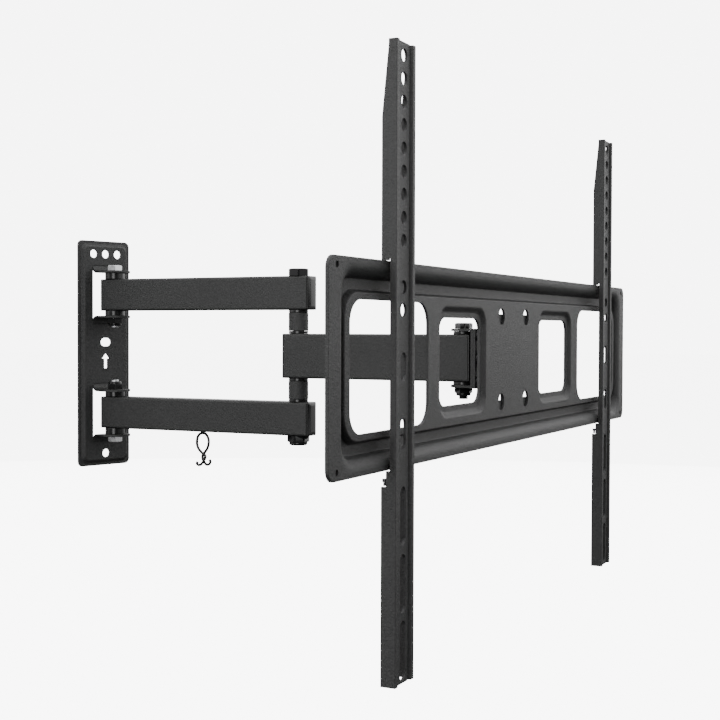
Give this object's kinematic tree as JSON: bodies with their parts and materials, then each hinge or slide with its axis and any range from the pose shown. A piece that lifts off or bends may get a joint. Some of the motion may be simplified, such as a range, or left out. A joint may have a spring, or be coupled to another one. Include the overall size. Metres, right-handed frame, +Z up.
{
  "type": "full motion TV wall mount",
  "caption": "Articulated television wall mount: wall plate, folding twin-tube and single-tube arms, tilting head, slotted plate and two hook-on rails.",
  "frame": {"origin": "middle of the wall plate's back face, on the wall", "axes": "+Y into the wall, +X to the right when facing the wall, +Z up"},
  "size_m": [0.6243, 0.5024, 0.418],
  "materials": {
    "powder_coat": "satin",
    "dark_fastener": "satin",
    "zinc_fastener": "satin",
    "moulded_plastic": "matte"
  },
  "bodies": {
    "wall": {"wall_plate": "powder_coat", "upper_pivot_bolt": "zinc_fastener", "upper_pivot_nut": "dark_fastener", "upper_pivot_outer_bush": "moulded_plastic", "upper_pivot_inner_bush": "moulded_plastic", "lower_pivot_bolt": "zinc_fastener", "lower_pivot_nut": "dark_fastener", "lower_pivot_outer_bush": "moulded_plastic", "lower_pivot_inner_bush": "moulded_plastic"},
    "inner_arms": {"upper_arm": "powder_coat", "upper_arm_wall_cap": "moulded_plastic", "upper_arm_elbow_cap": "moulded_plastic", "lower_arm": "powder_coat", "lower_arm_wall_cap": "moulded_plastic", "lower_arm_elbow_cap": "moulded_plastic", "elbow_bolt": "dark_fastener", "elbow_nut": "dark_fastener", "upper_elbow_outer_bush": "moulded_plastic", "upper_elbow_spacer": "powder_coat", "upper_elbow_inner_bush": "moulded_plastic", "lower_elbow_outer_bush": "moulded_plastic", "lower_elbow_spacer": "powder_coat", "lower_elbow_inner_bush": "moulded_plastic", "cable_clip": "moulded_plastic"},
    "outer_arm": {"outer_arm": "powder_coat", "outer_arm_elbow_cap": "moulded_plastic", "outer_arm_head_cap": "moulded_plastic"},
    "head": {"head_clevis": "powder_coat", "head_bolt": "dark_fastener", "head_nut": "dark_fastener", "head_upper_bush": "moulded_plastic", "head_lower_bush": "moulded_plastic"},
    "tilt_bracket": {"tilt_bracket": "powder_coat", "level_pivot_bolt": "dark_fastener", "level_screw_1": "dark_fastener", "level_screw_2": "dark_fastener", "level_screw_3": "dark_fastener", "level_screw_4": "dark_fastener", "level_screw_5": "dark_fastener", "level_screw_6": "dark_fastener", "tilt_bolt": "dark_fastener", "tilt_nut": "dark_fastener"},
    "tv_plate": {"tv_plate": "powder_coat", "panel_bracket": "powder_coat"},
    "left_rail": {"left_rail": "powder_coat", "left_rail_screw": "dark_fastener"},
    "right_rail": {"right_rail": "powder_coat", "right_rail_screw": "dark_fastener"}
  },
  "joints": [
    {"name": "wall_swivel", "type": "hinge", "parent": "wall", "child": "inner_arms", "pos_m": [0, -0.0198, 0], "axis": [0, 0, 1], "range_deg": [-109.8, 70.2]},
    {"name": "elbow_swivel", "type": "hinge", "parent": "inner_arms", "child": "outer_arm", "pos_m": [0.06707, -0.20609, 0], "axis": [0, 0, -1], "range_deg": [-130, 130]},
    {"name": "head_swivel", "type": "hinge", "parent": "outer_arm", "child": "head", "pos_m": [0.11767, -0.35472, 0], "axis": [0, 0, 1], "range_deg": [-89.4, 90.6]},
    {"name": "level_turn", "type": "hinge", "parent": "head", "child": "tilt_bracket", "pos_m": [0.12315, -0.37134, 0], "axis": [0.3135, -0.9496, 0], "range_deg": [-3, 3]},
    {"name": "tilt", "type": "hinge", "parent": "tilt_bracket", "child": "tv_plate", "pos_m": [0.1277, -0.38511, 0], "axis": [0.9496, 0.3135, 0], "range_deg": [-5, 12]},
    {"name": "left_rail_slide", "type": "slide", "parent": "tv_plate", "child": "left_rail", "axis": [0.9496, 0.3135, 0], "range_m": [-0.068, 0.132]},
    {"name": "right_rail_slide", "type": "slide", "parent": "tv_plate", "child": "right_rail", "axis": [0.9496, 0.3135, 0], "range_m": [-0.146, 0.054]}
  ]
}
